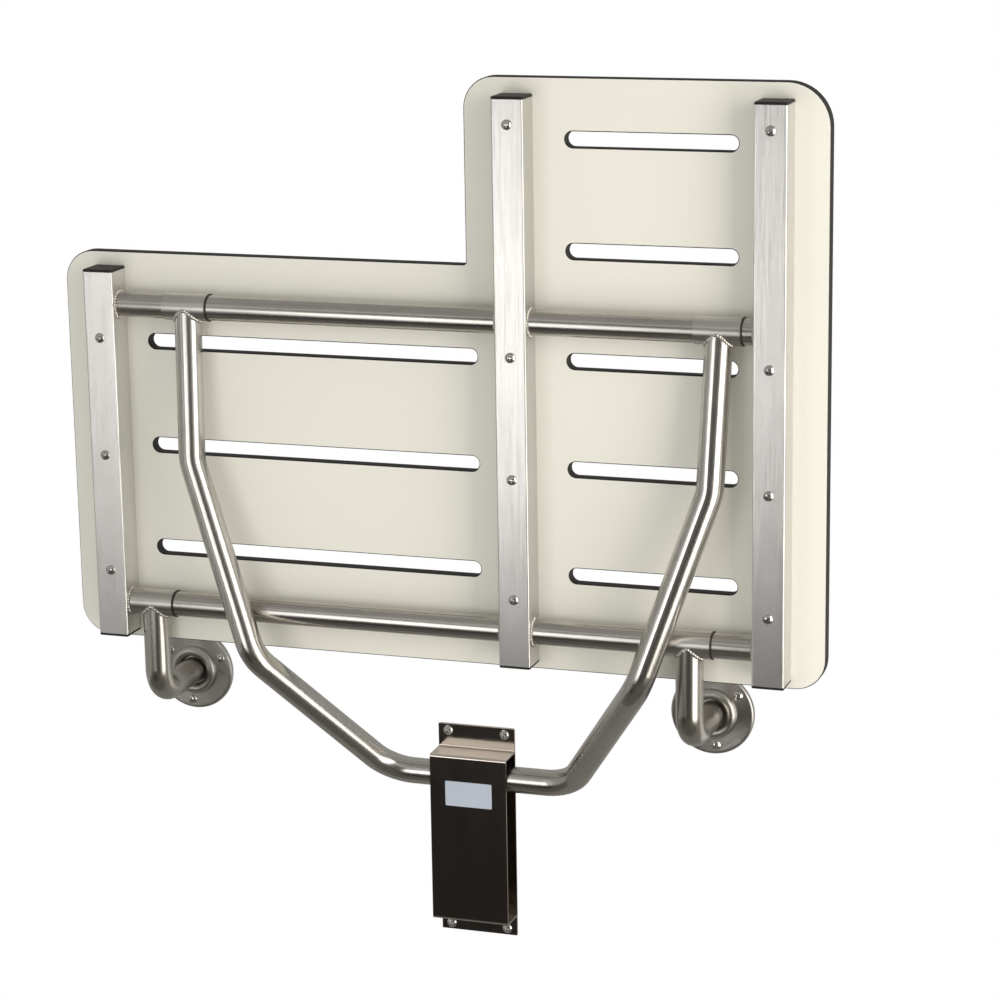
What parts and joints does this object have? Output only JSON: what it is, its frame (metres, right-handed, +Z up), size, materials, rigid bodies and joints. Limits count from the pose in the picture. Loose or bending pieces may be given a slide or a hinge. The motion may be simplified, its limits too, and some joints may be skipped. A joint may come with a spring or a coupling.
{
  "type": "folding shower seat",
  "caption": "Wall-hung L-shaped shower seat that folds up: slotted panel on a square-tube frame, two hinge elbows and a swinging support leg in a wall guide.",
  "frame": {"origin": "middle of the wall guide's four screws, on the wall's face", "axes": "+X right along the wall, +Y into the wall, +Z up"},
  "size_m": [0.7845, 0.1491, 0.8976],
  "materials": {
    "cream_laminate": "satin compact laminate with a black core at its edges",
    "black_cap_plastic": "moulded black plastic",
    "black_bushing_plastic": "turned black plastic",
    "screw_steel": "bright pan heads",
    "satin_square_tube": "fine satin brushed along the tube",
    "satin_round_tube": "satin polished round tube",
    "satin_flange_steel": "satin turned",
    "polished_guide_steel": "near-mirror polished sheet with bright bent edges"
  },
  "bodies": {
    "wall_mounts": {"flange_screw_left_1": "screw_steel", "flange_screw_left_2": "screw_steel", "flange_screw_left_3": "screw_steel", "flange_screw_right_1": "screw_steel", "flange_screw_right_2": "screw_steel", "flange_screw_right_3": "screw_steel", "guide_cover": "polished_guide_steel", "guide_plate": "polished_guide_steel", "guide_screw_1": "screw_steel", "guide_screw_2": "screw_steel", "guide_screw_3": "screw_steel", "guide_screw_4": "screw_steel", "hinge_elbow_left": "satin_round_tube", "hinge_elbow_right": "satin_round_tube", "hinge_sleeve_left": "satin_round_tube", "hinge_sleeve_right": "satin_round_tube", "wall_flange_left": "satin_flange_steel", "wall_flange_right": "satin_flange_steel"},
    "seat": {"cap_bottom_left": "black_cap_plastic", "cap_bottom_middle": "black_cap_plastic", "cap_bottom_right": "black_cap_plastic", "cap_top_left": "black_cap_plastic", "cap_top_middle": "black_cap_plastic", "cap_top_right": "black_cap_plastic", "frame_tube_left": "satin_square_tube", "frame_tube_middle": "satin_square_tube", "frame_tube_right": "satin_square_tube", "front_cross_tube": "satin_round_tube", "hinge_bushing_left": "black_bushing_plastic", "hinge_bushing_right": "black_bushing_plastic", "leg_bushing_left": "black_bushing_plastic", "leg_bushing_right": "black_bushing_plastic", "rear_cross_tube": "satin_round_tube", "seat_panel": "cream_laminate", "seat_screw_left_1": "screw_steel", "seat_screw_left_2": "screw_steel", "seat_screw_left_3": "screw_steel", "seat_screw_middle_1": "screw_steel", "seat_screw_middle_2": "screw_steel", "seat_screw_middle_3": "screw_steel", "seat_screw_middle_4": "screw_steel", "seat_screw_right_1": "screw_steel", "seat_screw_right_2": "screw_steel", "seat_screw_right_3": "screw_steel", "seat_screw_right_4": "screw_steel"},
    "leg": {"leg_sleeve_left": "satin_round_tube", "leg_sleeve_right": "satin_round_tube", "leg_tube_left": "satin_round_tube", "leg_tube_right": "satin_round_tube"},
    "crossbar": {"crossbar": "satin_round_tube"}
  },
  "joints": [
    {"name": "seat_fold", "type": "hinge", "parent": "wall_mounts", "child": "seat", "pos_m": [0, -0.0915, 0.2455], "axis": [1, 0, 0], "range_deg": [0, 90]},
    {"name": "leg_swing", "type": "hinge", "parent": "seat", "child": "leg", "pos_m": [0, -0.0915, 0.5531], "axis": [1, 0, 0], "range_deg": [-48.2, 0]},
    {"name": "bar_slide", "type": "slide", "parent": "wall_mounts", "child": "crossbar", "axis": [0, 0, 1], "range_m": [-0.1324, 0]}
  ],
  "couplings": [
    {"joint": "leg_swing", "follows": "seat_fold", "ratio": -0.53525},
    {"joint": "bar_slide", "follows": "seat_fold", "m_per_rad": -0.084259}
  ]
}
